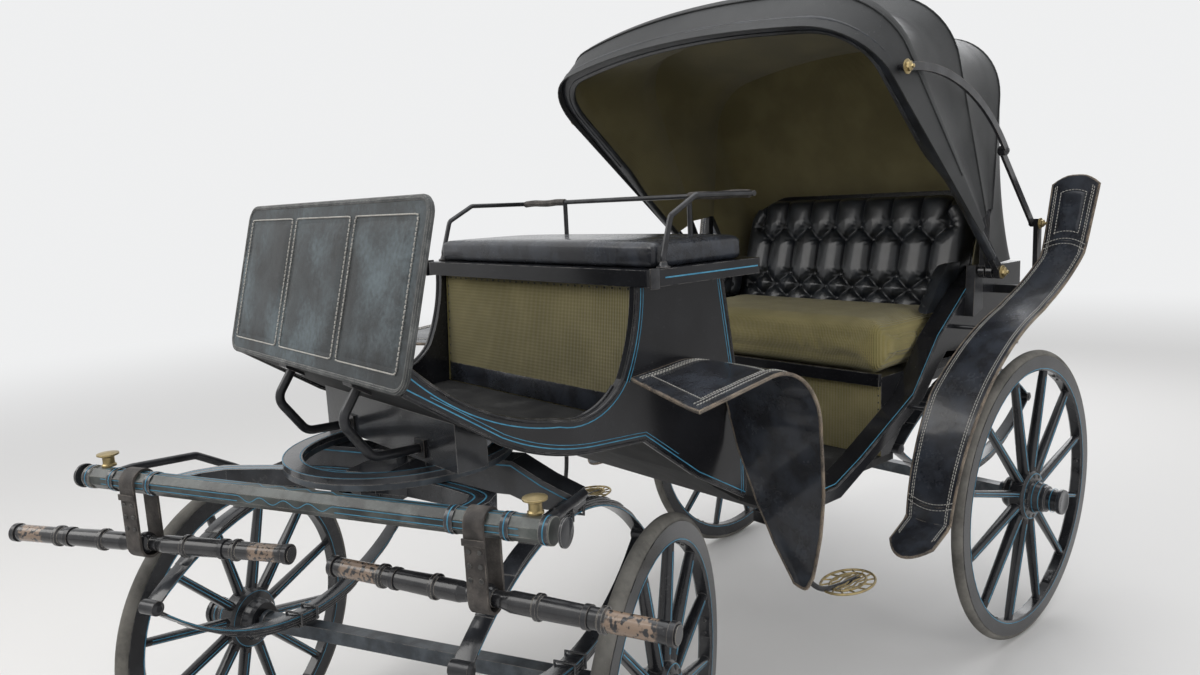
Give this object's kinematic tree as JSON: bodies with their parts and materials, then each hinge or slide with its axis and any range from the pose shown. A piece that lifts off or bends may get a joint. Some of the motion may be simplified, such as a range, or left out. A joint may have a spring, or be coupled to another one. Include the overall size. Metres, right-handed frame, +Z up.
{
  "type": "horse drawn carriage",
  "caption": "Open four-wheeled pleasure carriage with a driver's seat, dashboard, padded rear seat under a folding leather hood, leather guards, elliptic springs and a turning front carriage.",
  "frame": {"origin": "on the ground in the carriage's middle plane, under the rear axle", "axes": "+X forward, +Y to the carriage's left, +Z up; the front carriage stands turned 25.6 degrees to the left"},
  "size_m": [3.2758, 1.7949, 2.1833],
  "materials": {
    "black_paint": "gloss black paint with fine light blue lines, worn",
    "wheel_paint": "black painted wood with fine light blue lines",
    "body_wood": "black painted wood panels, gloss",
    "iron": "black painted forged iron, worn",
    "axle_iron": "worn grey black paint on forged iron",
    "tyre": "dusty solid rubber",
    "brass": "dull brass",
    "leather": "black leather with white stitching",
    "dash_leather": "dusty grey leather",
    "strap_leather": "thick brown black harness leather",
    "hood_leather": "dull black hood leather",
    "khaki": "ribbed khaki wool cloth"
  },
  "bodies": {
    "carriage": {"boot_sides": "body_wood", "boot_floor": "body_wood", "heel_panel": "khaki", "box_back": "body_wood", "body_floor": "body_wood", "seat_frame": "body_wood", "driver_cushion": "leather", "seat_rail": "iron", "dashboard": "dash_leather", "boot_irons": "iron", "seat_box": "khaki", "riser_rail": "body_wood", "passenger_cushion": "khaki", "back_cushion": "leather", "seat_back": "body_wood", "squabs": "leather", "quarter_left": "body_wood", "quarter_right": "body_wood", "back_panel": "body_wood", "rear_guard_left": "leather", "rear_guard_right": "leather", "guard_stays": "iron", "hood_brackets": "iron", "front_wing_left": "leather", "front_wing_right": "leather", "steps": "iron", "transom": "black_paint", "rear_axle": "axle_iron", "rear_springs": "iron", "rear_irons": "iron"},
    "forecarriage": {"turntable_ring": "iron", "bow_bed": "black_paint", "bed_stays": "iron", "splinter_bar": "wheel_paint", "roller_bolts": "brass", "front_springs": "iron", "front_axle": "axle_iron", "strap_left": "strap_leather", "strap_right": "strap_leather"},
    "wheel_fl": {"wheel_front_left": "wheel_paint", "tyre_front_left": "tyre"},
    "wheel_fr": {"wheel_front_right": "wheel_paint", "tyre_front_right": "tyre"},
    "wheel_rl": {"wheel_rear_left": "wheel_paint", "tyre_rear_left": "tyre"},
    "wheel_rr": {"wheel_rear_right": "wheel_paint", "tyre_rear_right": "tyre"},
    "swing_left": {"swingletree_left": "wheel_paint"},
    "swing_right": {"swingletree_right": "wheel_paint"},
    "hood_front": {"bow_front": "wheel_paint", "leather_front": "hood_leather"},
    "hood_mid": {"bow_mid": "wheel_paint", "leather_mid": "hood_leather"},
    "hood_rear": {"bow_rear": "wheel_paint", "back_curtain": "hood_leather"},
    "prop_low_left": {"prop_lower_left": "iron"},
    "prop_low_right": {"prop_lower_right": "iron"},
    "prop_up_left": {"prop_upper_left": "iron"},
    "prop_up_right": {"prop_upper_right": "iron"}
  },
  "joints": [
    {"name": "steering", "type": "hinge", "parent": "carriage", "child": "forecarriage", "pos_m": [2.005, 0, 0.99], "axis": [0, 0, 1], "range_deg": [-75.6, 24.4]},
    {"name": "wheel_front_left_spin", "type": "hinge", "parent": "forecarriage", "child": "wheel_fl", "pos_m": [1.67865, 0.55386, 0.427], "axis": [-0.4321, 0.9018, 0], "continuous": true},
    {"name": "wheel_front_right_spin", "type": "hinge", "parent": "forecarriage", "child": "wheel_fr", "pos_m": [2.23215, -0.60139, 0.427], "axis": [-0.4321, 0.9018, 0], "continuous": true},
    {"name": "wheel_rear_left_spin", "type": "hinge", "parent": "carriage", "child": "wheel_rl", "pos_m": [0, 0.67, 0.505], "axis": [0, 1, 0], "continuous": true},
    {"name": "wheel_rear_right_spin", "type": "hinge", "parent": "carriage", "child": "wheel_rr", "pos_m": [0, -0.67, 0.505], "axis": [0, 1, 0], "continuous": true},
    {"name": "swing_left_yaw", "type": "hinge", "parent": "forecarriage", "child": "swing_left", "pos_m": [2.148, 0.57637, 0.848], "axis": [0, 0, 1], "range_deg": [-8, 16]},
    {"name": "swing_right_yaw", "type": "hinge", "parent": "forecarriage", "child": "swing_right", "pos_m": [2.54379, -0.24971, 0.848], "axis": [0, 0, 1], "range_deg": [-19, 5]},
    {"name": "hood_fold", "type": "hinge", "parent": "carriage", "child": "hood_rear", "pos_m": [0.19, 0, 1.296], "axis": [0, -1, 0], "range_deg": [0, 83], "deforming": ["back_curtain"]},
    {"name": "hood_mid_fold", "type": "hinge", "parent": "hood_rear", "child": "hood_mid", "pos_m": [0.19, 0, 1.296], "axis": [0, -1, 0], "range_deg": [0, 24], "deforming": ["leather_mid"]},
    {"name": "hood_front_fold", "type": "hinge", "parent": "hood_mid", "child": "hood_front", "pos_m": [0.19, 0, 1.296], "axis": [0, -1, 0], "range_deg": [0, 18], "deforming": ["leather_front"]},
    {"name": "prop_lower_left_turn", "type": "hinge", "parent": "carriage", "child": "prop_low_left", "pos_m": [0, 0.6645, 1.44], "axis": [0, -1, 0], "range_deg": [0, 201]},
    {"name": "prop_upper_left_turn", "type": "hinge", "parent": "hood_front", "child": "prop_up_left", "pos_m": [0.82628, 0.6788, 1.88934], "axis": [0, -1, 0], "range_deg": [0, 3]},
    {"name": "prop_lower_right_turn", "type": "hinge", "parent": "carriage", "child": "prop_low_right", "pos_m": [0, -0.6645, 1.44], "axis": [0, -1, 0], "range_deg": [0, 201]},
    {"name": "prop_upper_right_turn", "type": "hinge", "parent": "hood_front", "child": "prop_up_right", "pos_m": [0.82628, -0.6788, 1.88934], "axis": [0, -1, 0], "range_deg": [0, 3]}
  ],
  "couplings": [
    {"joint": "hood_mid_fold", "follows": "hood_fold", "ratio": 0.28},
    {"joint": "hood_front_fold", "follows": "hood_fold", "ratio": 0.21},
    {"joint": "prop_lower_left_turn", "follows": "hood_fold", "ratio": 2.42},
    {"joint": "prop_upper_left_turn", "follows": "hood_fold", "ratio": 0.02},
    {"joint": "prop_lower_right_turn", "follows": "hood_fold", "ratio": 2.42},
    {"joint": "prop_upper_right_turn", "follows": "hood_fold", "ratio": 0.02}
  ]
}
